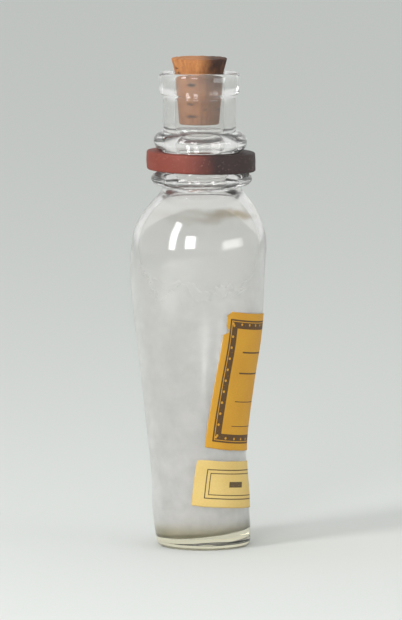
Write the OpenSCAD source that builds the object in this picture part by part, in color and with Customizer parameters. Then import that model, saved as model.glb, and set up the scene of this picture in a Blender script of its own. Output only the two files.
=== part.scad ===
// Small corked apothecary bottle of clear glass, with a rubber ring on its neck
// and two paper labels. Millimetres, +Z up, standing on z = 0, labels towards +X.

/* [Body] */
// Widest outside diameter of the body
body_d = 44; // [40:0.5:52]
// Height of the widest part above the foot
belly_z = 95; // [88:1:105]
// Outside diameter at the waist
waist_d = 31.2; // [28:0.2:35]
// Height of the waist above the foot
waist_z = 23; // [18:1:30]
// How early the side starts to widen above the waist
side_ease = 0.93; // [0.8:0.01:1.1]
// Outside diameter of the skirt below the waist
skirt_d = 31.6; // [29:0.2:35]
// Height of the widest part of the skirt
skirt_z = 13; // [8:1:16]
// Outside diameter just above the heel
foot_d = 30.6; // [28:0.2:34]
// Rounding of the heel
heel_r = 1.8; // [0.8:0.1:3]

/* [Shoulder] */
// Height of the shoulder, from the widest part to the neck
shoulder_h = 21.4; // [16:0.2:28]
// Fullness of the shoulder's round
shoulder_full = 2.6; // [2:0.1:3.2]
// How softly the shoulder runs into the neck
shoulder_fade = 1.25; // [1.1:0.05:1.6]

/* [Glass] */
// Thickness of the body wall
wall = 2.1; // [1.4:0.1:3]
// Height of the inner floor above the foot, on the axis
floor_z = 4; // [3:0.1:6]
// Slope of the inner floor, thick on the label side
floor_tilt = 5.5; // [0:0.5:8]
// Rounding where the inner floor meets the wall
floor_round = 4; // [1:0.5:6]
// Flare of the inner floor's rim, in degrees from upright
floor_flare = 12; // [9:1:20]
// Width of the hollow under the foot
punt_d = 22; // [16:0.5:25]
// Depth of the hollow under the foot
punt_h = 0.9; // [0.3:0.1:1.5]

/* [Neck] */
// Bore of the neck and mouth
bore_d = 16; // [12:0.5:20]
// Thickness of the neck under the lip
neck_wall = 3.8; // [2.5:0.1:5]
// Height of the neck between the upper bead and the lip
neck_h = 11.8; // [8:0.2:16]
// Thickness of the neck at its root on the shoulder
root_wall = 5; // [3.5:0.1:6]
// How far the neck's thick bore runs below its root
root_drop = 1.2; // [0.4:0.1:3]
// Straight part of the root, under the lower bead
root_h = 0.9; // [0.4:0.1:3]
// Thickness of the lip
lip_wall = 5; // [4:0.1:7]
// Height of the lip
lip_h = 7.3; // [5:0.1:10]
// Rounding of the lip's outside edges
lip_round = 1.2; // [0.4:0.1:1.6]
// Rounding of the mouth's inner edge
mouth_round = 0.9; // [0.4:0.1:1.4]

/* [Beads] */
// How far the lower bead stands out from the neck's root
lower_bead_out = 3.4; // [1.5:0.1:5]
// Height of the lower bead
lower_bead_h = 5; // [3:0.1:7]
// How far the upper bead stands out from the groove
upper_bead_out = 2.7; // [1.5:0.1:5]
// Height of the upper bead
upper_bead_h = 6.4; // [4:0.1:8]
// Thickness of the neck in the groove between the beads
groove_wall = 4.4; // [3:0.1:6]

/* [Rubber ring] */
// Height of the ring
ring_h = 6.2; // [4:0.1:9]
// Thickness of the ring from bore to rim
ring_t = 5.1; // [3.5:0.1:6]
// Rounding of the ring's edges
ring_round = 0.5; // [0.2:0.1:1]
// Room round the ring in its groove
ring_fit = 0.1; // [0.05:0.05:0.3]

/* [Stopper] */
// Length of the cork below the rim
cork_in = 16.7; // [10:0.1:24]
// Height of the cork's head above the rim
cork_out = 4.8; // [3:0.1:10]
// How far the cork narrows in radius from the mouth to its end
cork_taper = 1.45; // [0.4:0.05:2.5]
// How far the head stands out past the bore
cork_head_out = 1.05; // [0.4:0.05:2]
// Rounding of the cork's edges
cork_round = 0.5; // [0.2:0.1:1]
// Radial room between the cork and the mouth
cork_fit = 0.05; // [0.03:0.01:0.1]

/* [Labels] */
// Thickness of the paper
paper_t = 0.15; // [0.1:0.01:0.3]
// Thickness of the paste under the paper
paste_t = 0.03; // [0.02:0.01:0.05]
// Direction that the labels face, from +X
label_turn = -18; // [-40:1:10]
// Width of the upper label
upper_label_w = 36; // [24:0.5:42]
// Height of the upper label
upper_label_h = 44.5; // [25:0.5:48]
// Height of the upper label's middle above the foot
upper_label_z = 54.2; // [50:0.2:60]
// Askew set of the upper label
upper_label_roll = 2; // [-3:0.5:4]
// Width of the strip torn from the upper label's corner
tear_w = 0.9; // [0:0.1:2]
// Height of that strip, from the label's top edge
tear_h = 6; // [3:0.5:12]
// Radius of the bite at the strip's lower end
bite_r = 1.1; // [0.5:0.1:2]
// Width of the lower label
lower_label_w = 43; // [24:0.5:46]
// Height of the lower label
lower_label_h = 15; // [10:0.5:18]
// Height of the lower label's middle above the foot
lower_label_z = 20.4; // [18:0.2:22]
// Askew set of the lower label
lower_label_roll = 6; // [0:0.5:8]

/* [Hidden] */
$fn = 96;

// Points on each rounding, bead and long curve
round_n = 6;
bead_n = 12;
curve_n = 40;

// How far a cut runs past what it cuts
over = 1;

body_r = body_d / 2;
waist_r = waist_d / 2;
skirt_r = skirt_d / 2;
foot_r = foot_d / 2;
punt_r = punt_d / 2;

bore_r = bore_d / 2;
root_r = bore_r + root_wall;
groove_r = bore_r + groove_wall;
neck_r = bore_r + neck_wall;
lip_r = bore_r + lip_wall;

// Heights, stacked from the shoulder to the rim
root_z = belly_z + shoulder_h;
lower_bead_z = root_z + root_h;
groove_z = lower_bead_z + lower_bead_h;
upper_bead_z = groove_z + ring_h + 2 * ring_fit;
neck_z = upper_bead_z + upper_bead_h;
lip_z = neck_z + neck_h;
rim_z = lip_z + lip_h;

// Points of an arc in the profile plane
function arc(r, z, radius, from, to) =
    [for (i = [0:round_n]) let (a = from + (to - from) * i / round_n)
        [r + radius * cos(a), z + radius * sin(a)]];

// Smooth step from 0 to 1
function ease(t) = (1 - cos(180 * t)) / 2;

// Outside radius of the body from the heel to the widest part
function side_r(z) =
    z < skirt_z ? foot_r + (skirt_r - foot_r) * sin(90 * (z - heel_r) / (skirt_z - heel_r))
    : z < waist_z ? skirt_r + (waist_r - skirt_r) * ease((z - skirt_z) / (waist_z - skirt_z))
    : waist_r + (body_r - waist_r)
        * ease(pow((z - waist_z) / (belly_z - waist_z), side_ease));

// Lean of the side at a height, in degrees from upright
lean_step = 1;
function side_lean(z) = atan((side_r(z + lean_step) - side_r(z - lean_step)) / (2 * lean_step));

// Round of the shoulder, from 1 at the widest part to 0 at the neck
function shoulder(u) = pow(1 - pow(u, shoulder_full), shoulder_fade);

// Heights of the side's points from z0 to z1
function side_steps(z0, z1) = [for (i = [0:curve_n]) z0 + (z1 - z0) * i / curve_n];

// Shoulder between two radii, over the height h
function shoulder_points(wide_r, narrow_r, h) =
    [for (i = [1:curve_n]) let (u = sin(90 * i / curve_n))
        [narrow_r + (wide_r - narrow_r) * shoulder(u), belly_z + h * u]];

// Half-oval bead between two radii of the neck
function bead(z, h, low_r, high_r, out_r) =
    [for (i = [0:bead_n]) let (a = 180 * i / bead_n - 90, base = a < 0 ? low_r : high_r)
        [base + (out_r - base) * cos(a), z + h / 2 + h / 2 * sin(a)]];

// Soft hollow under the foot
function punt_points() =
    [for (i = [0:bead_n]) [punt_r * i / bead_n, punt_h * (1 - ease(i / bead_n))]];

outer_profile = concat(
    punt_points(),
    arc(foot_r - heel_r, heel_r, heel_r, -90, 0),
    [for (z = side_steps(heel_r, belly_z)) if (z > heel_r) [side_r(z), z]],
    shoulder_points(body_r, root_r, shoulder_h),
    bead(lower_bead_z, lower_bead_h, root_r, groove_r, root_r + lower_bead_out),
    bead(upper_bead_z, upper_bead_h, groove_r, neck_r, groove_r + upper_bead_out),
    [[neck_r, lip_z]],
    arc(lip_r - lip_round, lip_z + lip_round, lip_round, -90, 0),
    arc(lip_r - lip_round, rim_z - lip_round, lip_round, 0, 90),
    [[0, rim_z]]
);

// The cavity runs below the sloping floor's lowest edge, and the floor closes it
floor_r = skirt_r - wall;
cavity_z = floor_z - floor_r * tan(floor_tilt);
cavity_profile = concat(
    [[0, cavity_z]],
    [for (z = side_steps(cavity_z, belly_z)) [side_r(z) - wall, z]],
    shoulder_points(body_r - wall, bore_r, shoulder_h + root_drop),
    arc(bore_r + mouth_round, rim_z - mouth_round, mouth_round, 180, 90),
    [[bore_r + mouth_round, rim_z + over], [0, rim_z + over]]
);

// The floor's round, from flat to the flare that it climbs the wall with
bowl_corner = arc(floor_r - floor_round, floor_round, floor_round, -90, -floor_flare);
bowl_rise = 2 * rim_z;
bowl_profile = concat(
    [[0, 0]],
    bowl_corner,
    [[bowl_corner[round_n].x + bowl_rise * tan(floor_flare), bowl_corner[round_n].y + bowl_rise],
        [0, bowl_corner[round_n].y + bowl_rise]]
);

module cavity() {
    intersection() {
        rotate_extrude() polygon(cavity_profile);
        translate([0, 0, floor_z]) rotate([0, -floor_tilt, 0])
            rotate_extrude() polygon(bowl_profile);
    }
}

// One piece of pressed and blown glass
module bottle() {
    color([0.86, 0.9, 0.88, 0.35]) difference() {
        rotate_extrude() polygon(outer_profile);
        cavity();
    }
}

// The cork is tightest where the straight bore ends, and widens only above the rim
seat_z = rim_z - mouth_round;
seat_r = bore_r - cork_fit;
cork_end_r = seat_r - cork_taper;
cork_end_z = rim_z - cork_in;
cork_head_r = bore_r + cork_head_out;
cork_top_z = rim_z + cork_out;
cork_profile = concat(
    [[0, cork_end_z]],
    arc(cork_end_r - cork_round, cork_end_z + cork_round, cork_round, -90, 0),
    [[seat_r, seat_z], [seat_r, rim_z]],
    arc(cork_head_r - cork_round, cork_top_z - cork_round, cork_round, 0, 90),
    [[0, cork_top_z]]
);

module cork_stopper() {
    color("peru") rotate_extrude() polygon(cork_profile);
}

// The ring grips the groove between the two beads
ring_in_r = groove_r + ring_fit;
ring_out_r = ring_in_r + ring_t;
ring_z = groove_z + ring_fit;
ring_profile = concat(
    arc(ring_in_r + ring_round, ring_z + ring_round, ring_round, 180, 270),
    arc(ring_out_r - ring_round, ring_z + ring_round, ring_round, -90, 0),
    arc(ring_out_r - ring_round, ring_z + ring_h - ring_round, ring_round, 0, 90),
    arc(ring_in_r + ring_round, ring_z + ring_h - ring_round, ring_round, 90, 180)
);

module neck_ring() {
    color("firebrick") rotate_extrude() polygon(ring_profile);
}

// Turn from a sheet's middle to its end, and the end's lean, in degrees. The ends lean in
// where the side narrows, as those of a straight sheet on a cone do.
function sheet_turn(w, mid_z) = w / 2 / side_r(mid_z) * 180 / PI;
function sheet_lean(w, mid_z) = atan(w / 2 / side_r(mid_z) * tan(side_lean(mid_z)));

// Places its children on a sheet's end, with +Z up the end
module at_sheet_end(w, mid_z, roll, end) {
    rotate([0, 0, end * sheet_turn(w, mid_z)]) translate([0, 0, mid_z])
        rotate([end * sheet_lean(w, mid_z) - roll, 0, 0]) children();
}

// A sheet of paper pasted round the side, set askew by roll
module label_sheet(w, h, mid_z, roll) {
    mid_r = side_r(mid_z);
    spare_h = (h + mid_r) / 2;
    spare_turn = 20;
    reach = 2 * body_d;
    sides = [for (z = side_steps(heel_r, belly_z))
        if (z >= mid_z - spare_h && z <= mid_z + spare_h) z];
    sweep = sheet_turn(w, mid_z) + sheet_lean(w, mid_z) + spare_turn;
    difference() {
        intersection() {
            rotate([0, 0, -sweep]) rotate_extrude(angle = 2 * sweep) polygon(concat(
                [for (z = sides) [side_r(z) + paste_t, z]],
                [for (i = [1:len(sides)]) let (z = sides[len(sides) - i])
                    [side_r(z) + paste_t + paper_t, z]]
            ));
            translate([mid_r, 0, mid_z]) rotate([-roll, side_lean(mid_z), 0])
                cube([2 * reach, 2 * reach, h], center = true);
        }
        for (end = [-1, 1]) at_sheet_end(w, mid_z, roll, end)
            translate([0, end > 0 ? 0 : -reach, -reach / 2]) cube(reach);
    }
}

// The upper label has a strip and a bite torn from one corner
module upper_label() {
    color("goldenrod") rotate([0, 0, label_turn]) difference() {
        label_sheet(upper_label_w, upper_label_h, upper_label_z, upper_label_roll);
        at_sheet_end(upper_label_w, upper_label_z, upper_label_roll, -1)
            translate([0, tear_w, upper_label_h / 2 - tear_h]) {
                translate([0, -body_d, 0]) cube(body_d);
                rotate([0, 90, 0]) cylinder(h = body_d, r = bite_r);
            }
    }
}

module lower_label() {
    color("khaki") rotate([0, 0, label_turn])
        label_sheet(lower_label_w, lower_label_h, lower_label_z, lower_label_roll);
}

bottle();
cork_stopper();
neck_ring();
upper_label();
lower_label();
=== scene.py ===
import math
import random

import bmesh
import bpy
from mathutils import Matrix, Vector, noise


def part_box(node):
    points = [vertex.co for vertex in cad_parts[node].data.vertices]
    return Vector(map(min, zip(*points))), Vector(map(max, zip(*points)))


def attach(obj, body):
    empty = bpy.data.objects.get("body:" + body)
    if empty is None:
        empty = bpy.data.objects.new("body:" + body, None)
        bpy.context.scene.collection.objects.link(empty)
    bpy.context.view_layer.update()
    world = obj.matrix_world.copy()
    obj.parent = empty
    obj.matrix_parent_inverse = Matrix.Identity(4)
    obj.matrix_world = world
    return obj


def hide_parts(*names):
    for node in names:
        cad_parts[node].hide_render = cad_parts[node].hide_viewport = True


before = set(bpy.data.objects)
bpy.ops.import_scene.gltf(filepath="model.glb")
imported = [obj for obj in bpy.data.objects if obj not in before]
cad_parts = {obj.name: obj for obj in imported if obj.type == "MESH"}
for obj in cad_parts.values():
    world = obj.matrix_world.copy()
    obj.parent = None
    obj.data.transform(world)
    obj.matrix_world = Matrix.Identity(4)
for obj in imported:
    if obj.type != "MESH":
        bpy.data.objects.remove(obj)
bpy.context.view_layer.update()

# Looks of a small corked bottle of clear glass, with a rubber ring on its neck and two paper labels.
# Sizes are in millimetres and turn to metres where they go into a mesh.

MM = 0.001
SPIN_STEPS = 144

bottle_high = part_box("bottle")[1] / MM
cork_low, cork_high = (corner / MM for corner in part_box("cork_stopper"))
ring_low, ring_high = (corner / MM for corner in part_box("neck_ring"))

# Sizes of the glass, as in the part's source
BELLY_Z, BELLY_R = 95, bottle_high.x
WAIST_Z, WAIST_R = 23, 15.6
SKIRT_Z, SKIRT_R = 13, 15.8
FOOT_R, HEEL_R = 15.3, 1.8
SIDE_EASE = 0.93
SHOULDER_H, SHOULDER_FULL, SHOULDER_FADE = 21.4, 2.6, 1.25
INNER_SHOULDER_H = SHOULDER_H + 1.2
WALL = 2.1
FLOOR_Z, FLOOR_ROUND = 4, 4
FLOOR_TILT = math.tan(math.radians(5.5))
FLOOR_TILT_FADE = 22
PUNT_R, PUNT_H = 11, 0.9
BORE_R, BORE_DEPTH, MOUTH_ROUND = 8, 34, 0.9
ROOT_R, ROOT_TOP_Z = 13, 117.4
LOWER_BEAD_Z, LOWER_BEAD_H, LOWER_BEAD_R = 117.3, 5, 16.4
GROOVE_R = 12.4
UPPER_BEAD_Z, UPPER_BEAD_H, UPPER_BEAD_R = 128.7, 6.4, 15.1
NECK_R, NECK_Z = 11.8, 135.1
LIP_R, LIP_Z, LIP_ROUND = 13, 146.9, 1.2
RIM_Z = bottle_high.z

# Slow ripples of the two skins of the glass, which fade out at the foot and on the neck
INNER_RIPPLE, OUTER_RIPPLE = 0.16, 0.07
FOOT_FADE_H = 6
NECK_FADE_Z, NECK_FADE_H, NECK_FADE = 112, 6, 0.8

# Sideways wander of the hand-finished glass, as heights and shifts
WANDER = ((0, 1.1), (15, 0.15), (36, -1.0), (54, -0.85), (68, -0.55), (88, -0.85),
          (103, -0.25), (117, 0.55), (128, 0.25), (137, -0.2), (160, -0.3))

CORK_END_Z, CORK_END_R = cork_low.z, 6.5
CORK_SEAT_R = 7.9
CORK_TOP_Z, CORK_HEAD_R = cork_high.z, cork_high.x
CORK_END_ROUND, CORK_HEAD_ROUND = 0.6, 0.5
CORK_MIDDLE_Z = 150

RING_IN_R, RING_OUT_R = 12.5, ring_high.x
RING_Z, RING_TOP_Z = ring_low.z + 0.05, ring_high.z - 0.05
RING_IN_ROUND, RING_OUT_ROUND, RING_CROWN = 0.4, 0.6, 0.06
RING_ASKEW = math.tan(math.radians(1.3))
RING_GRIP = 2.5

# Labels, with the upper one trimmed to fit the photograph closer than its plain CAD sheet does
UPPER_W, UPPER_H = 35.4, 44.8
LOWER_W, LOWER_H = 43, 15
LABEL_TURN = math.radians(-18)
PAPER_T, PASTE_T = 0.15, 0.09
PAPER_CELL = 0.5
EDGE_WAVE = 0.12


def smooth(t):
    """Smooth step from 0 to 1."""
    t = min(1, max(0, t))
    return t * t * (3 - 2 * t)


def wander(z):
    """Sideways shift of the glass at a height."""
    for (z0, x0), (z1, x1) in zip(WANDER, WANDER[1:]):
        if z <= z1:
            return x0 + (x1 - x0) * smooth((z - z0) / (z1 - z0))
    return WANDER[-1][1]


def side_r(z):
    """Outside radius of the body from the heel to its widest part."""
    if z < SKIRT_Z:
        return FOOT_R + (SKIRT_R - FOOT_R) * math.sin(math.pi / 2 * (z - HEEL_R) / (SKIRT_Z - HEEL_R))
    if z < WAIST_Z:
        turn = math.pi * (z - SKIRT_Z) / (WAIST_Z - SKIRT_Z)
        return SKIRT_R + (WAIST_R - SKIRT_R) * (1 - math.cos(turn)) / 2
    turn = math.pi * ((z - WAIST_Z) / (BELLY_Z - WAIST_Z)) ** SIDE_EASE
    return WAIST_R + (BELLY_R - WAIST_R) * (1 - math.cos(turn)) / 2


def shoulder_r(wide_r, narrow_r, u):
    """Radius of the shoulder at a share of its height."""
    return narrow_r + (wide_r - narrow_r) * max(0, 1 - u ** SHOULDER_FULL) ** SHOULDER_FADE


def straight(r0, z0, r1, z1, steps):
    """Points of a straight stretch of a profile, without its first."""
    return [(r0 + (r1 - r0) * i / steps, z0 + (z1 - z0) * i / steps) for i in range(1, steps + 1)]


def arc(r, z, radius, start, end, steps=6):
    """Points of an arc of a profile, with its angles in degrees."""
    turns = [math.radians(start + (end - start) * i / steps) for i in range(steps + 1)]
    return [(r + radius * math.cos(a), z + radius * math.sin(a)) for a in turns]


def bead(z, h, low_r, high_r, out_r, steps=14):
    """Half-oval bead between two radii of the neck."""
    points = []
    for i in range(steps + 1):
        a = math.pi * (i / steps - 0.5)
        base = low_r if a < 0 else high_r
        points.append((base + (out_r - base) * math.cos(a), z + h / 2 + h / 2 * math.sin(a)))
    return points


def shoulder(wide_r, narrow_r, h, steps=30):
    """Round of the shoulder, from the widest part to the neck."""
    shares = [math.sin(math.pi / 2 * i / steps) for i in range(1, steps + 1)]
    return [(shoulder_r(wide_r, narrow_r, u), BELLY_Z + h * u) for u in shares]


def side(low_z, inset, steps):
    """Points of the body's side from a height up to its widest part, set in from its outside."""
    heights = [BELLY_Z - (BELLY_Z - low_z) * i / steps for i in range(steps + 1)]
    return [(side_r(z) - inset, z) for z in reversed(heights)]


def spun(profile):
    """Bmesh of a closed shape spun from its profile of radii and heights."""
    bm = bmesh.new()
    verts = [bm.verts.new((r * MM, 0, z * MM)) for r, z in profile]
    edges = [bm.edges.new(pair) for pair in zip(verts, verts[1:])]
    bmesh.ops.spin(bm, geom=verts + edges, cent=(0, 0, 0), axis=(0, 0, 1), angle=2 * math.pi,
                   steps=SPIN_STEPS, use_merge=True)
    bmesh.ops.remove_doubles(bm, verts=bm.verts, dist=0.004 * MM)
    bmesh.ops.recalc_face_normals(bm, faces=bm.faces)
    return bm


def piece(name, bm, body, node, finishes):
    """Finished object made from a bmesh, riding on a body in place of its CAD node."""
    mesh = bpy.data.meshes.new(name)
    bm.to_mesh(mesh)
    bm.free()
    for polygon in mesh.polygons:
        polygon.use_smooth = True
    for finish in finishes:
        mesh.materials.append(finish)
    made = bpy.data.objects.new(name, mesh)
    bpy.context.scene.collection.objects.link(made)
    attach(made, body)
    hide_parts(node)
    return made


def colour(text):
    """Linear colour of an sRGB hex value."""
    parts = [int(text[i:i + 2], 16) / 255 for i in (1, 3, 5)]
    return (*(c / 12.92 if c <= 0.04045 else ((c + 0.055) / 1.055) ** 2.4 for c in parts), 1)


def add(tree, kind, inputs=(), **settings):
    """Adds a node. An input is a value, a socket, or a node whose first output in use is linked."""
    made = tree.nodes.new("ShaderNode" + kind)
    for key, value in settings.items():
        setattr(made, key, value)
    for key, value in dict(inputs).items():
        if isinstance(value, bpy.types.Node):
            value = next(socket for socket in value.outputs if socket.enabled)
        if isinstance(value, bpy.types.NodeSocket):
            tree.links.new(value, made.inputs[key])
        else:
            made.inputs[key].default_value = value
    return made


def finish_of(name, look, *details):
    """Material whose look function adds its nodes and gives the shader's inputs."""
    made = bpy.data.materials.new(name)
    made.use_nodes = True
    tree = made.node_tree
    tree.nodes.clear()
    shader = add(tree, "BsdfPrincipled", look(tree, *details))
    add(tree, "OutputMaterial", {"Surface": shader})
    return made


def clouded_glass(tree):
    """Clear soda-lime glass, blown and hand finished, clouded inside by old contents.

    It is smooth and glossy outside with slow ripples, milky on the inner wall, most of all low
    down, and faintly olive where it is thick.
    """
    place = add(tree, "TexCoord").outputs["Object"]
    inside = add(tree, "Attribute", attribute_name="inside").outputs["Fac"]
    xyz = add(tree, "SeparateXYZ", {0: place}).outputs
    # Clouds about 15 mm across
    clouds = add(tree, "TexNoise", {"Vector": place, "Scale": 70, "Detail": 5, "Roughness": 0.6})
    level = add(tree, "MapRange", {"Value": xyz[2], "From Min": 0.012, "From Max": 0.115,
                                   "To Min": 0.62, "To Max": 0.12})
    patchy = add(tree, "MapRange", {"Value": clouds, "From Min": 0.3, "From Max": 0.7,
                                    "To Min": 0.8, "To Max": 1.2})
    milk = add(tree, "Math", {0: level, 1: patchy}, operation="MULTIPLY")
    milk = add(tree, "Math", {0: milk, 1: inside}, operation="MULTIPLY", use_clamp=True)
    clear = add(tree, "Math", {0: 1.0, 1: milk}, operation="SUBTRACT", use_clamp=True)
    # Brown tide mark that the contents left inside the shoulder, strongest on the label side
    waver = add(tree, "TexNoise", {"Vector": place, "Scale": 110, "Detail": 3})
    tide_z = add(tree, "MapRange", {"Value": waver, "From Min": 0.3, "From Max": 0.7,
                                    "To Min": 0.1062, "To Max": 0.1094})
    off_tide = add(tree, "Math", {0: xyz[2], 1: tide_z}, operation="SUBTRACT")
    off_tide = add(tree, "Math", {0: off_tide}, operation="ABSOLUTE")
    tide = add(tree, "MapRange", {"Value": off_tide, "From Min": 0.0, "From Max": 0.0026,
                                  "To Min": 1.0, "To Max": 0.0}, interpolation_type="SMOOTHSTEP")
    tide_side = add(tree, "MapRange", {"Value": xyz[0], "From Min": -0.012, "From Max": 0.010,
                                       "To Min": 0.1, "To Max": 0.75})
    tide = add(tree, "Math", {0: tide, 1: tide_side}, operation="MULTIPLY")
    tide = add(tree, "Math", {0: tide, 1: inside}, operation="MULTIPLY")
    thick = add(tree, "MapRange", {"Value": xyz[2], "From Min": 0.0035, "From Max": 0.0095,
                                   "To Min": 0.8, "To Max": 0.0}, interpolation_type="SMOOTHSTEP")
    tint = add(tree, "Mix", {0: thick, 6: colour("#F9F8F7"), 7: colour("#E3DCBC")}, data_type="RGBA")
    tint = add(tree, "Mix", {0: tide, 6: tint, 7: colour("#B09A6C")}, data_type="RGBA")
    gloss = add(tree, "MapRange", {"Value": milk, "From Min": 0.0, "From Max": 0.7,
                                   "To Min": 0.02, "To Max": 0.22})
    # Ripples about 18 mm long
    ripple = add(tree, "TexNoise", {"Vector": place, "Scale": 55, "Detail": 2})
    bump = add(tree, "Bump", {"Height": ripple, "Strength": 0.25, "Distance": 0.3 * MM})
    return {"Base Color": tint, "Roughness": gloss, "Transmission Weight": clear, "IOR": 1.52,
            "Normal": bump}


def natural_cork(tree):
    """Natural cork, cut across the bark: dull tan with darker streaks along it, brown-black
    lenticels sunk in it, and painted shade, nearly black, on one side."""
    place = add(tree, "TexCoord").outputs["Object"]
    pit = add(tree, "Attribute", attribute_name="pit").outputs["Fac"]
    xyz = add(tree, "SeparateXYZ", {0: place}).outputs
    # Grains about 1 mm across, and streaks of the same width and 8 mm long
    grain = add(tree, "TexNoise", {"Vector": place, "Scale": 900, "Detail": 6, "Roughness": 0.7})
    streaky = add(tree, "Mapping", {"Vector": place, "Scale": (900, 900, 120)})
    streaks = add(tree, "TexNoise", {"Vector": streaky, "Scale": 1, "Detail": 4, "Roughness": 0.6})
    mottle = add(tree, "TexNoise", {"Vector": place, "Scale": 260, "Detail": 3})
    tan = add(tree, "ValToRGB", {0: streaks})
    dark_end, light_end = tan.color_ramp.elements
    dark_end.position, dark_end.color = 0.32, colour("#7E4A28")
    light_end.position, light_end.color = 0.68, colour("#C4874E")
    tone = add(tree, "Mix", {0: mottle, 6: tan, 7: colour("#C07F4C")}, data_type="RGBA")
    speck = add(tree, "MapRange", {"Value": grain, "From Min": 0.56, "From Max": 0.7,
                                   "To Min": 0.0, "To Max": 0.7})
    tone = add(tree, "Mix", {0: speck, 6: tone, 7: colour("#6B4027")}, data_type="RGBA")
    # Painted shade, nearly black, on the label side and strongest on the head, broken up by the mottle
    sideways = add(tree, "MapRange", {"Value": xyz[0], "From Min": -0.0015, "From Max": 0.0045},
                   interpolation_type="SMOOTHSTEP")
    upwards = add(tree, "MapRange", {"Value": xyz[2], "From Min": 0.1475, "From Max": 0.1545,
                                     "To Min": 0.5, "To Max": 1.0}, interpolation_type="SMOOTHSTEP")
    cork_painted_shade = add(tree, "Math", {0: sideways, 1: upwards}, operation="MULTIPLY")
    patch = add(tree, "MapRange", {"Value": mottle, "From Min": 0.35, "From Max": 0.6,
                                   "To Min": 0.8, "To Max": 1.0})
    cork_painted_shade = add(tree, "Math", {0: cork_painted_shade, 1: patch}, operation="MULTIPLY", use_clamp=True)
    tone = add(tree, "Mix", {0: cork_painted_shade, 6: tone, 7: colour("#3A2219")}, data_type="RGBA")
    tone = add(tree, "Mix", {0: pit, 6: tone, 7: colour("#3A2018")}, data_type="RGBA")
    bump = add(tree, "Bump", {"Height": grain, "Strength": 0.5, "Distance": 0.2 * MM})
    return {"Base Color": tone, "Roughness": 0.82, "Normal": bump}


def red_rubber_with_painted_shade(tree):
    """Old red natural rubber, moulded: dull and brick red, with painted shade in brown-black on
    one side, and pale dust in its pores."""
    place = add(tree, "TexCoord").outputs["Object"]
    xyz = add(tree, "SeparateXYZ", {0: place}).outputs
    blotch = add(tree, "TexNoise", {"Vector": place, "Scale": 160, "Detail": 4, "Roughness": 0.6})
    # Painted shade in brown-black on the +X side, with its edge broken up by the blotches
    shift = add(tree, "MapRange", {"Value": blotch, "To Min": -0.004, "To Max": 0.004})
    along = add(tree, "Math", {0: xyz[0], 1: shift}, operation="ADD")
    rubber_painted_shade = add(tree, "MapRange", {"Value": along, "From Min": -0.006, "From Max": 0.007},
               interpolation_type="SMOOTHSTEP")
    tone = add(tree, "Mix", {0: blotch, 6: colour("#6C2B20"), 7: colour("#823828")}, data_type="RGBA")
    tone = add(tree, "Mix", {0: rubber_painted_shade, 6: tone, 7: colour("#2A1716")}, data_type="RGBA")
    # Pores about 0.7 mm apart
    pores = add(tree, "TexNoise", {"Vector": place, "Scale": 1400, "Detail": 3})
    dust = add(tree, "MapRange", {"Value": pores, "From Min": 0.62, "From Max": 0.75,
                                  "To Min": 0.0, "To Max": 0.35})
    tone = add(tree, "Mix", {0: dust, 6: tone, 7: colour("#B08A78")}, data_type="RGBA")
    bump = add(tree, "Bump", {"Height": pores, "Strength": 0.3, "Distance": 0.1 * MM})
    return {"Base Color": tone, "Roughness": 0.62, "Normal": bump}


def filled(tree, s, t, low_s, high_s, low_t, high_t):
    """Mask of a rectangle of the sheet, in millimetres along it and up it."""
    mask = None
    for value, low, high in ((s, low_s, high_s), (t, low_t, high_t)):
        for operation, edge in (("GREATER_THAN", low), ("LESS_THAN", high)):
            test = add(tree, "Math", {0: value, 1: edge}, operation=operation)
            mask = test if mask is None else add(tree, "Math", {0: mask, 1: test}, operation="MULTIPLY")
    return mask


def either(tree, masks):
    """Mask that is 1 where any of the masks is."""
    total = masks[0]
    for mask in masks[1:]:
        total = add(tree, "Math", {0: total, 1: mask}, operation="MAXIMUM")
    return total


def framed(tree, s, t, w, h, line):
    """Mask of a frame of w by h round the sheet's middle, with its line of a thickness."""
    outer = filled(tree, s, t, -w / 2, w / 2, -h / 2, h / 2)
    inner = filled(tree, s, t, -w / 2 + line, w / 2 - line, -h / 2 + line, h / 2 - line)
    return add(tree, "Math", {0: outer, 1: inner}, operation="SUBTRACT")


def dotted(tree, along, off, reach, pitch, dot_r):
    """Mask of a chain of round dots on both sides of the sheet's middle, at a reach from it."""
    down = add(tree, "Math", {0: along, 1: pitch}, operation="PINGPONG")
    away = add(tree, "Math", {0: off}, operation="ABSOLUTE")
    away = add(tree, "Math", {0: away, 1: reach}, operation="SUBTRACT")
    far = [add(tree, "Math", {0: leg, 1: leg}, operation="MULTIPLY") for leg in (away, down)]
    far = add(tree, "Math", {0: far[0], 1: far[1]}, operation="ADD")
    return add(tree, "Math", {0: far, 1: dot_r ** 2}, operation="LESS_THAN")


def upper_marks(tree, s, t):
    """Traditional printer's border, a dark band with a chain of light dots, and ruled lines."""
    frame_w, frame_h = UPPER_W - 4.4, UPPER_H - 4.6
    band_w, dots_in, light_line_in = 2.9, 1.5, 0.55
    border = framed(tree, s, t, frame_w, frame_h, band_w)
    dots = [dotted(tree, t, s, frame_w / 2 - dots_in, 1.8, 0.4),
            dotted(tree, s, t, frame_h / 2 - dots_in, 1.8, 0.4)]
    light_line = framed(tree, s, t, frame_w - 2 * light_line_in, frame_h - 2 * light_line_in, 0.25)
    light = either(tree, dots + [light_line])
    border = add(tree, "Math", {0: border, 1: light}, operation="SUBTRACT", use_clamp=True)
    # Rules as heights and thicknesses
    rules = [filled(tree, s, t, -9, 9, low, low + thick) for low, thick in
             ((9.4, 0.5), (2.6, 0.5), (-6.6, 0.3), (-14.6, 0.25))]
    return either(tree, [border] + rules)


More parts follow.
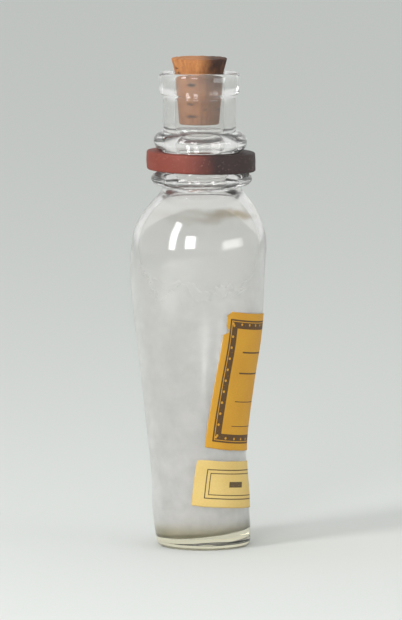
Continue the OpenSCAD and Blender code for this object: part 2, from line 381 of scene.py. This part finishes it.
def lower_marks(tree, s, t):
    """Double-line frame round two bold dashes."""
    frames = [framed(tree, s, t, LOWER_W - 7.5, LOWER_H - 5.4, 0.35),
              framed(tree, s, t, LOWER_W - 9.9, LOWER_H - 7.8, 0.3)]
    dashes = [filled(tree, s, t, low, low + 6, -0.9, 0.9) for low in (-9.5, 3.5)]
    return either(tree, frames + dashes)


def printed_paper(tree, light, deep, ink, marks):
    """Old printed paper, matt: faint fibres, uneven fading, and ink where marks gives a mask."""
    sheet = add(tree, "UVMap")
    st = add(tree, "SeparateXYZ", {0: sheet}).outputs
    # Fibres show as flecks about 0.5 mm long
    fibre = add(tree, "TexNoise", {"Vector": sheet, "Scale": 2.2, "Detail": 5, "Roughness": 0.65})
    fade = add(tree, "TexNoise", {"Vector": sheet, "Scale": 0.11, "Detail": 3})
    tone = add(tree, "Mix", {0: fade, 6: colour(light), 7: colour(deep)}, data_type="RGBA")
    fleck = add(tree, "MapRange", {"Value": fibre, "From Min": 0.3, "From Max": 0.7,
                                   "To Min": 0.9, "To Max": 1.07})
    tone = add(tree, "VectorMath", {0: tone, "Scale": fleck}, operation="SCALE")
    # The ink is worn through in fine specks
    worn = add(tree, "MapRange", {"Value": fibre, "From Min": 0.55, "From Max": 0.8,
                                  "To Min": 0.92, "To Max": 0.45})
    mask = add(tree, "Math", {0: marks(tree, st[0], st[1]), 1: worn}, operation="MULTIPLY")
    tone = add(tree, "Mix", {0: mask, 6: tone, 7: colour(ink)}, data_type="RGBA")
    bump = add(tree, "Bump", {"Height": fibre, "Strength": 0.2, "Distance": 0.05 * MM})
    return {"Base Color": tone, "Roughness": 0.7, "Normal": bump}


def bare_paper(tree, shade):
    """The paper's unprinted back and its cut edge, matt, with fibres about 0.5 mm long."""
    place = add(tree, "TexCoord").outputs["Object"]
    fibre = add(tree, "TexNoise", {"Vector": place, "Scale": 2200, "Detail": 4})
    tone = add(tree, "Mix", {0: fibre, 6: colour(shade), 7: colour("#F4EEDC")}, data_type="RGBA")
    return {"Base Color": tone, "Roughness": 0.8}


def plain_floor(tree):
    """Matt pale paint."""
    return {"Base Color": colour("#D6D8D5"), "Roughness": 0.9}


def on_inner_skin(r, z):
    """Whether a point of the glass is on the skin that faces the contents."""
    if z >= ROOT_TOP_Z:
        return r < BORE_R + MOUTH_ROUND / 2
    if z < BELLY_Z:
        outer_r = side_r(max(z, HEEL_R))
    else:
        outer_r = shoulder_r(BELLY_R, ROOT_R, min(1, (z - BELLY_Z) / SHOULDER_H))
    return r < outer_r - WALL / 2 and z > FLOOR_Z - 0.5


def glass_bottle():
    """Bottle: the outer skin from the middle of the foot to the rim, and the inner skin back down."""
    outer = [(PUNT_R * i / 12, PUNT_H * (1 - smooth(i / 12))) for i in range(13)]
    outer += arc(FOOT_R - HEEL_R, HEEL_R, HEEL_R, -90, 0)
    outer += side(HEEL_R, 0, 70)[1:]
    outer += shoulder(BELLY_R, ROOT_R, SHOULDER_H)
    outer += bead(LOWER_BEAD_Z, LOWER_BEAD_H, ROOT_R, GROOVE_R, LOWER_BEAD_R)
    outer += bead(UPPER_BEAD_Z, UPPER_BEAD_H, GROOVE_R, NECK_R, UPPER_BEAD_R)
    outer += straight(NECK_R, NECK_Z, NECK_R, LIP_Z, 8)
    outer += arc(LIP_R - LIP_ROUND, LIP_Z + LIP_ROUND, LIP_ROUND, -90, 0)
    outer += arc(LIP_R - LIP_ROUND, RIM_Z - LIP_ROUND, LIP_ROUND, 0, 90)
    bore_top_z = RIM_Z - MOUTH_ROUND
    inner = arc(BORE_R + MOUTH_ROUND, bore_top_z, MOUTH_ROUND, 90, 180)
    inner += straight(BORE_R, bore_top_z, BORE_R, bore_top_z - BORE_DEPTH, 20)
    inner += reversed(shoulder(BELLY_R - WALL, BORE_R, INNER_SHOULDER_H))
    inner += reversed(side(FLOOR_Z + FLOOR_ROUND, WALL, 60))
    floor_r = SKIRT_R - WALL - FLOOR_ROUND
    inner += arc(floor_r - 0.2, FLOOR_Z + FLOOR_ROUND, FLOOR_ROUND, 0, -90, 8)[1:]
    inner += straight(floor_r, FLOOR_Z, 0, FLOOR_Z, 8)
    bm = spun(outer + inner)
    inside = bm.verts.layers.float.new("inside")
    for vert in bm.verts:
        x, y, z = vert.co / MM
        r = math.hypot(x, y)
        inner_skin = on_inner_skin(r, z)
        vert[inside] = float(inner_skin)
        if inner_skin:
            # The inner floor slopes, thick on the label side, and the slope fades out up the wall
            z += x * FLOOR_TILT * (1 - smooth((z - FLOOR_Z) / FLOOR_TILT_FADE))
            ripple = INNER_RIPPLE * noise.noise(Vector((x, y, z * 0.6)) * 0.09 + Vector((3, 7, 1)))
        else:
            ripple = OUTER_RIPPLE * noise.noise(Vector((x, y, z * 0.5)) * 0.12)
        if r > 0.01:
            ripple *= smooth(z / FOOT_FADE_H) * (1 - NECK_FADE * smooth((z - NECK_FADE_Z) / NECK_FADE_H))
            x *= 1 + ripple / r
            y *= 1 + ripple / r
        vert.co = Vector((x + wander(z), y, z)) * MM
    piece("glass_bottle", bm, "bottle", "bottle",
          [finish_of("clouded_soda_lime_glass", clouded_glass)])


def cork():
    """Cork: tapered, with its edges worn round and its lenticels sunk in."""
    profile = [(r, CORK_END_Z) for r in (0, 2, 4, 5.4)]
    profile += arc(CORK_END_R - CORK_END_ROUND, CORK_END_Z + CORK_END_ROUND, CORK_END_ROUND, -70, 0)
    profile += straight(CORK_END_R, CORK_END_Z + CORK_END_ROUND, CORK_SEAT_R, RIM_Z, 44)
    profile += straight(CORK_SEAT_R, RIM_Z, CORK_HEAD_R, CORK_TOP_Z - CORK_HEAD_ROUND, 14)
    profile += arc(CORK_HEAD_R - CORK_HEAD_ROUND, CORK_TOP_Z - CORK_HEAD_ROUND, CORK_HEAD_ROUND, 15, 90)
    profile += [(r, CORK_TOP_Z) for r in (7, 5.4, 3.6, 1.8, 0)]
    bm = spun(profile)
    pit = bm.verts.layers.float.new("pit")
    # Lenticels, as turn from +X in degrees, height, half length, half height and depth
    slits = [(-110, 140.3, 2.7, 0.55, 0.45), (-112, 144.3, 1.6, 0.5, 0.35),
             (-48, 145.8, 1.1, 0.6, 0.4), (-108, 150.6, 2.2, 0.9, 0.25), (-75, 142.6, 0.9, 0.4, 0.3)]
    draw = random.Random(11)
    slits += [(draw.uniform(-30, 220), draw.uniform(138.5, 158), draw.uniform(0.5, 2.2),
               draw.uniform(0.25, 0.6), draw.uniform(0.15, 0.4)) for _ in range(34)]
    for vert in bm.verts:
        x, y, z = vert.co / MM
        r = math.hypot(x, y)
        turn = math.degrees(math.atan2(y, x))
        ragged = 0.25 * noise.noise(Vector((x, y, z)) * 1.1)
        sunk = 0
        depth = 0
        for slit_turn, height, half_length, half_h, deep in slits:
            around = math.radians((turn - slit_turn + 180) % 360 - 180) * r
            off = math.hypot(around / half_length, (z + ragged - height) / half_h)
            if off < 1 and r > 5:
                sunk = max(sunk, smooth(1.25 * (1 - off)))
                depth = max(depth, deep * smooth(1 - off))
        rough = 0.07 * noise.noise(Vector((x, y, z * 0.4)) * 1.3) - 0.04
        if r > 0.5:
            scale = 1 + (rough - depth) / r * min(1, r / 5)
            x *= scale
            y *= scale
        if z > CORK_TOP_Z - 0.3:
            # The top is sunk a little and uneven
            z -= 0.16 + 0.14 * noise.noise(Vector((x, y, 2)) * 0.5)
        vert[pit] = sunk
        vert.co = Vector((x + wander(CORK_MIDDLE_Z), y, z)) * MM
    piece("cork", bm, "stopper", "cork_stopper", [finish_of("natural_cork", natural_cork)])


def rubber_ring():
    """Ring: a flat moulded rubber ring, sitting a little askew in its groove."""
    flat_rs = (13.8, 14.8, 15.8, 16.6)
    inner, outer = RING_IN_ROUND, RING_OUT_ROUND
    profile = arc(RING_IN_R + inner, RING_Z + inner, inner, 180, 270, 3)
    profile += [(r, RING_Z) for r in flat_rs]
    profile += arc(RING_OUT_R - outer, RING_Z + outer, outer, -90, 0, 4)
    rise = RING_TOP_Z - RING_Z - 2 * outer
    profile += [(RING_OUT_R + RING_CROWN * math.sin(math.pi * i / 6), RING_Z + outer + rise * i / 6)
                for i in range(1, 6)]
    profile += arc(RING_OUT_R - outer, RING_TOP_Z - outer, outer, 0, 90, 4)
    profile += [(r, RING_TOP_Z) for r in reversed(flat_rs)]
    profile += arc(RING_IN_R + inner, RING_TOP_Z - inner, inner, 90, 180, 3)
    profile += [profile[0]]
    bm = spun(profile)
    for vert in bm.verts:
        x, y, z = vert.co / MM
        r = math.hypot(x, y)
        worn = 0.10 * noise.noise(Vector((x, y, z)) * 0.35) + 0.03 * noise.noise(Vector((x, y, z)) * 1.7)
        free = smooth((r - RING_IN_R) / RING_GRIP)
        x *= 1 + worn * free / r
        y *= 1 + worn * free / r
        z -= RING_ASKEW * x * free
        vert.co = Vector((x + wander(z), y, z)) * MM
    piece("rubber_ring", bm, "bottle", "neck_ring",
          [finish_of("red_rubber_painted_shade", red_rubber_with_painted_shade)])


def label(name, node, w, h, mid_z, slope, lean, bow, inset, finishes):
    """Paper label, trimmed flat, with its left edge set in by inset, and pasted round the side.

    Its rows slope and bow upwards at their ends, as on a cone, and its columns lean.
    """
    bm = bmesh.new()
    uv = bm.loops.layers.uv.new("UVMap")
    bmesh.ops.create_grid(bm, x_segments=round(w / PAPER_CELL), y_segments=round(h / PAPER_CELL), size=0.5)
    sheet = {}
    for vert in bm.verts:
        s, t = vert.co.x * w, vert.co.y * h
        if max(abs(vert.co.x), abs(vert.co.y)) > 0.499:
            s += EDGE_WAVE * noise.noise(Vector((s, t, w)) * 0.7)
            t += EDGE_WAVE * noise.noise(Vector((t, s, h)) * 0.7)
        sheet[vert] = (max(s, inset(t) - w / 2), t)
    for face in bm.faces:
        for loop in face.loops:
            loop[uv].uv = sheet[loop.vert]
    for vert, (s, t) in sheet.items():
        z = mid_z + t - slope * s + bow * s * s
        r = side_r(z) + PASTE_T
        turn = LABEL_TURN + (s + lean * t) / side_r(z)
        vert.co = Vector((r * math.cos(turn) + wander(z), r * math.sin(turn), z)) * MM
    bmesh.ops.dissolve_degenerate(bm, dist=0.01 * MM, edges=bm.edges)
    made = piece(name, bm, "bottle", node, finishes)
    thickness = made.modifiers.new("thickness", "SOLIDIFY")
    thickness.thickness = PAPER_T * MM
    thickness.offset = 1
    thickness.material_offset_rim = 1


def upper_inset(t):
    """Left edge of the upper label: a strip torn off its top, a bite under it, a worn corner."""
    top = UPPER_H / 2
    inset = 0.9 * smooth((t - (top - 6.6)) / 0.5)
    bite = 1 - ((t - (top - 6.4)) / 1.2) ** 2
    if bite > 0:
        inset = max(inset, 2.0 * math.sqrt(bite))
    return inset + 1.6 * smooth((t - (top - 1.8)) / 1.8)


def lower_inset(t):
    """Left edge of the lower label: whole, with its corners a little rubbed."""
    return 0.5 * smooth((abs(t) - (LOWER_H / 2 - 0.7)) / 0.7)


def labels():
    """The two paper labels, one above the other, with their printed face and bare back."""
    label("ochre_label", "upper_label", UPPER_W, UPPER_H,
          mid_z=53.9, slope=0.087, lean=0.0, bow=0.0031, inset=upper_inset,
          finishes=[finish_of("ochre_label_paper", printed_paper, "#CC9A28", "#BD831B", "#3A2414",
                              upper_marks),
                    finish_of("ochre_label_paper_back", bare_paper, "#E6D6A4")])
    label("buff_label", "lower_label", LOWER_W, LOWER_H,
          mid_z=20.4, slope=0.095, lean=0.2, bow=0.0, inset=lower_inset,
          finishes=[finish_of("buff_label_paper", printed_paper, "#D8BE7A", "#CBAA5E", "#3A2A18",
                              lower_marks),
                    finish_of("buff_label_paper_back", bare_paper, "#EADFBE")])


def floor():
    """Wide plain floor."""
    bm = bmesh.new()
    bmesh.ops.create_circle(bm, cap_ends=True, radius=6, segments=96)
    mesh = bpy.data.meshes.new("floor")
    bm.to_mesh(mesh)
    bm.free()
    mesh.materials.append(finish_of("pale_floor", plain_floor))
    made = bpy.data.objects.new("floor", mesh)
    bpy.context.scene.collection.objects.link(made)


def camera():
    """Camera at the photograph's angle, for an image of 402 by 620 pixels."""
    image_h = 620
    pixel = 0.3245 * MM
    aim = Vector((0.3, 0, 76.8)) * MM
    data = bpy.data.cameras.new("camera")
    made = bpy.data.objects.new("camera", data)
    bpy.context.scene.collection.objects.link(made)
    made.location = (0, -2.2848, 0.3344)
    made.rotation_euler = (aim - made.location).to_track_quat("-Z", "Y").to_euler()
    data.sensor_fit = "VERTICAL"
    data.lens = (aim - made.location).length / pixel * data.sensor_height / image_h
    bpy.context.scene.camera = made
    bpy.context.scene.view_settings.view_transform = "Standard"


def room():
    """Even pale light from all round, a little darker on the camera's side."""
    world = bpy.data.worlds.new("room")
    bpy.context.scene.world = world
    world.use_nodes = True
    tree = world.node_tree
    toward = add(tree, "SeparateXYZ", {0: add(tree, "TexCoord")}).outputs
    ahead = add(tree, "MapRange", {"Value": toward[1], "From Min": -0.9, "From Max": 0.5},
                interpolation_type="SMOOTHSTEP")
    pale = add(tree, "Mix", {0: ahead, 6: colour("#BBBDBD"), 7: colour("#D6D8D6")}, data_type="RGBA")
    light = tree.nodes["Background"]
    tree.links.new(pale.outputs[2], light.inputs["Color"])
    light.inputs["Strength"].default_value = 1.2


def lamp(name, azimuth, elevation, distance, width, height, power):
    """Soft rectangular light aimed at the bottle, with its azimuth to the right of the camera."""
    data = bpy.data.lights.new(name, "AREA")
    data.shape = "RECTANGLE"
    data.size, data.size_y = width, height
    data.energy = power
    made = bpy.data.objects.new(name, data)
    bpy.context.scene.collection.objects.link(made)
    a, e = math.radians(azimuth), math.radians(elevation)
    middle = Vector((0, 0, 0.09))
    toward = Vector((math.sin(a) * math.cos(e), -math.cos(a) * math.cos(e), math.sin(e)))
    made.location = middle + distance * toward
    made.rotation_euler = (middle - made.location).to_track_quat("-Z", "Y").to_euler()


camera()
glass_bottle()
cork()
rubber_ring()
labels()
floor()
room()
lamp("square_window", -15, 16, 1.3, 0.40, 0.46, 5)
lamp("left_window", -48, 26, 1.3, 0.28, 1.0, 9)
lamp("right_window", 61, 8, 1.3, 0.9, 0.3, 3)
lamp("overhead", -30, 70, 1.4, 1.0, 1.0, 0.8)
